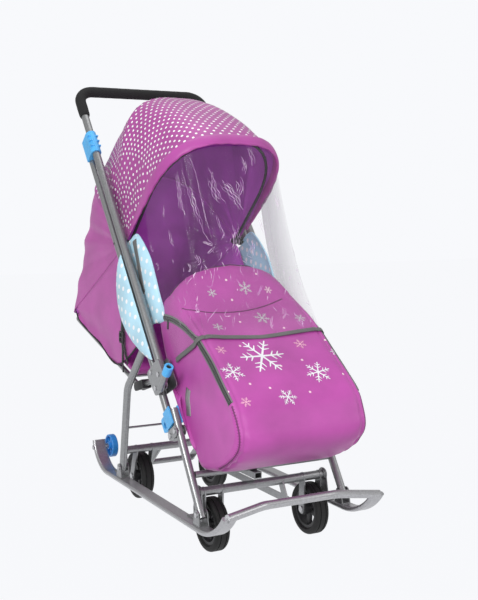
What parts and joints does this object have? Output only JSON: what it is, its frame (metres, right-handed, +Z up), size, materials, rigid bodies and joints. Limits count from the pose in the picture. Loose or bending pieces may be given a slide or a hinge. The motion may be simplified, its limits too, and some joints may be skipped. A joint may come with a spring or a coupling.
{
  "type": "sled stroller",
  "caption": "Winter sled stroller with steel runners, foot-lifted road wheels, folding tube frame, flip handle, reclining seat, arched hood, footmuff and clear rain cover.",
  "frame": {"origin": "centre of the part's box, on the floor that the road wheels stand on", "axes": "+Z up, front (the direction of travel) towards -Y, the child's left towards +X"},
  "size_m": [0.4688, 1.1302, 1.1838],
  "materials": {
    "silver_tube": "satin silver-grey powder coat",
    "bright_rivet": "bright zinc plating",
    "tyre_black": "matte foam rubber",
    "black_plastic": "matte black",
    "blue_plastic": "semi-gloss bright blue",
    "foam_black": "matte foam",
    "violet_cloth": "plain woven nylon",
    "dotted_cloth": "woven nylon, part with small white dots",
    "sky_cloth": "padded cotton with white dots",
    "clear_film": "clear soft film",
    "strap_black": "woven webbing"
  },
  "bodies": {
    "chassis": {"runner_left": "silver_tube", "runner_right": "silver_tube", "front_bar": "silver_tube", "front_brackets": "silver_tube", "rear_brackets": "silver_tube", "foot_clips": "silver_tube", "foot_rivets": "bright_rivet", "transport_bolts": "bright_rivet"},
    "front_swing": {"front_swing_axle": "silver_tube", "front_axle_bolts": "bright_rivet"},
    "rear_swing": {"rear_swing_axle": "silver_tube", "rear_axle_bolts": "bright_rivet"},
    "wheel_link": {"link_bar": "silver_tube"},
    "front_wheel_left": {"front_tyre_left": "tyre_black", "front_rim_left": "black_plastic"},
    "front_wheel_right": {"front_tyre_right": "tyre_black", "front_rim_right": "black_plastic"},
    "rear_wheel_left": {"rear_tyre_left": "tyre_black", "rear_rim_left": "black_plastic"},
    "rear_wheel_right": {"rear_tyre_right": "tyre_black", "rear_rim_right": "black_plastic"},
    "transport_left": {"transport_wheel_left": "blue_plastic"},
    "transport_right": {"transport_wheel_right": "blue_plastic"},
    "legs": {"front_leg_left": "silver_tube", "front_leg_right": "silver_tube", "leg_cross_tube": "silver_tube", "footrest_rail": "silver_tube", "fold_ears": "silver_tube", "fold_rivets": "bright_rivet"},
    "rear_leg_pair": {"rear_leg_left": "silver_tube", "rear_leg_right": "silver_tube", "rear_brace_rod": "silver_tube"},
    "upright": {"upright_left": "silver_tube", "upright_right": "silver_tube", "hinge_plates": "silver_tube", "plate_rivets": "bright_rivet", "bumper_sockets": "silver_tube", "socket_plugs": "blue_plastic", "seat_frame": "silver_tube", "recline_hinges": "black_plastic", "seat_pad": "violet_cloth", "hood_pivots": "black_plastic", "hood_rear": "dotted_cloth", "back_cover": "violet_cloth", "side_walls": "sky_cloth", "side_wing_left": "sky_cloth", "side_wing_right": "sky_cloth", "footmuff": "violet_cloth", "rain_cover": "clear_film", "recline_straps": "strap_black"},
    "handle": {"handle_tube": "silver_tube", "foam_grip": "foam_black"},
    "left_clip": {"handle_clip_left": "blue_plastic"},
    "right_clip": {"handle_clip_right": "blue_plastic"},
    "left_latch": {"fold_latch_left": "blue_plastic"},
    "right_latch": {"fold_latch_right": "blue_plastic"},
    "backrest": {"back_frame": "silver_tube", "back_pad": "violet_cloth"},
    "hood_front_frame": {"hood_front": "dotted_cloth", "hood_bow": "black_plastic"}
  },
  "joints": [
    {"name": "wheel_lift", "type": "hinge", "parent": "chassis", "child": "front_swing", "pos_m": [0, -0.34899, 0.15], "axis": [1, 0, 0], "range_deg": [0, 88]},
    {"name": "rear_wheel_lift", "type": "hinge", "parent": "chassis", "child": "rear_swing", "pos_m": [0, 0.12501, 0.15], "axis": [1, 0, 0], "range_deg": [0, 88]},
    {"name": "link_pivot", "type": "hinge", "parent": "front_swing", "child": "wheel_link", "pos_m": [0, -0.37499, 0.10497], "axis": [1, 0, 0], "range_deg": [-88, 0]},
    {"name": "front_left_spin", "type": "hinge", "parent": "front_swing", "child": "front_wheel_left", "pos_m": [0.1405, -0.34699, 0.066], "axis": [1, 0, 0], "continuous": true},
    {"name": "front_right_spin", "type": "hinge", "parent": "front_swing", "child": "front_wheel_right", "pos_m": [-0.1405, -0.34699, 0.066], "axis": [1, 0, 0], "continuous": true},
    {"name": "rear_left_spin", "type": "hinge", "parent": "rear_swing", "child": "rear_wheel_left", "pos_m": [0.117, 0.15501, 0.066], "axis": [1, 0, 0], "continuous": true},
    {"name": "rear_right_spin", "type": "hinge", "parent": "rear_swing", "child": "rear_wheel_right", "pos_m": [-0.117, 0.15501, 0.066], "axis": [1, 0, 0], "continuous": true},
    {"name": "transport_left_spin", "type": "hinge", "parent": "chassis", "child": "transport_left", "pos_m": [0.1647, 0.25357, 0.13561], "axis": [1, 0, 0], "continuous": true},
    {"name": "transport_right_spin", "type": "hinge", "parent": "chassis", "child": "transport_right", "pos_m": [-0.1647, 0.25357, 0.13561], "axis": [1, 0, 0], "continuous": true},
    {"name": "frame_fold", "type": "hinge", "parent": "chassis", "child": "legs", "pos_m": [0, -0.40799, 0.115], "axis": [1, 0, 0], "range_deg": [0, 42]},
    {"name": "upright_fold", "type": "hinge", "parent": "legs", "child": "upright", "pos_m": [0, -0.26469, 0.27503], "axis": [1, 0, 0], "range_deg": [-67.91, 0]},
    {"name": "rear_leg_fold", "type": "hinge", "parent": "chassis", "child": "rear_leg_pair", "pos_m": [0, 0.07801, 0.115], "axis": [1, 0, 0], "range_deg": [0, 11.15]},
    {"name": "handle_flip", "type": "hinge", "parent": "upright", "child": "handle", "pos_m": [0, -0.1979, 0.41757], "axis": [1, 0, 0], "range_deg": [0, 80]},
    {"name": "left_clip_slide", "type": "slide", "parent": "handle", "child": "left_clip", "axis": [0, 0.6252, 0.7804], "range_m": [0, 0.04]},
    {"name": "right_clip_slide", "type": "slide", "parent": "handle", "child": "right_clip", "axis": [0, 0.6252, 0.7804], "range_m": [0, 0.04]},
    {"name": "left_latch_slide", "type": "slide", "parent": "upright", "child": "left_latch", "axis": [0, 0.6252, 0.7804], "range_m": [0, 0.028]},
    {"name": "right_latch_slide", "type": "slide", "parent": "upright", "child": "right_latch", "axis": [0, 0.6252, 0.7804], "range_m": [0, 0.028]},
    {"name": "recline", "type": "hinge", "parent": "upright", "child": "backrest", "pos_m": [0, 0.03514, 0.3462], "axis": [1, 0, 0], "range_deg": [0, 45], "deforming": ["back_cover"]},
    {"name": "hood_fold", "type": "hinge", "parent": "upright", "child": "hood_front_frame", "pos_m": [0, 0.1017, 0.73237], "axis": [-1, 0, 0], "range_deg": [0, 46], "deforming": ["rain_cover"]}
  ],
  "couplings": [
    {"joint": "rear_wheel_lift", "follows": "wheel_lift", "ratio": 1},
    {"joint": "link_pivot", "follows": "wheel_lift", "ratio": -1},
    {"joint": "upright_fold", "follows": "frame_fold", "ratio": -1.6167},
    {"joint": "rear_leg_fold", "follows": "frame_fold", "ratio": 0.26527}
  ]
}
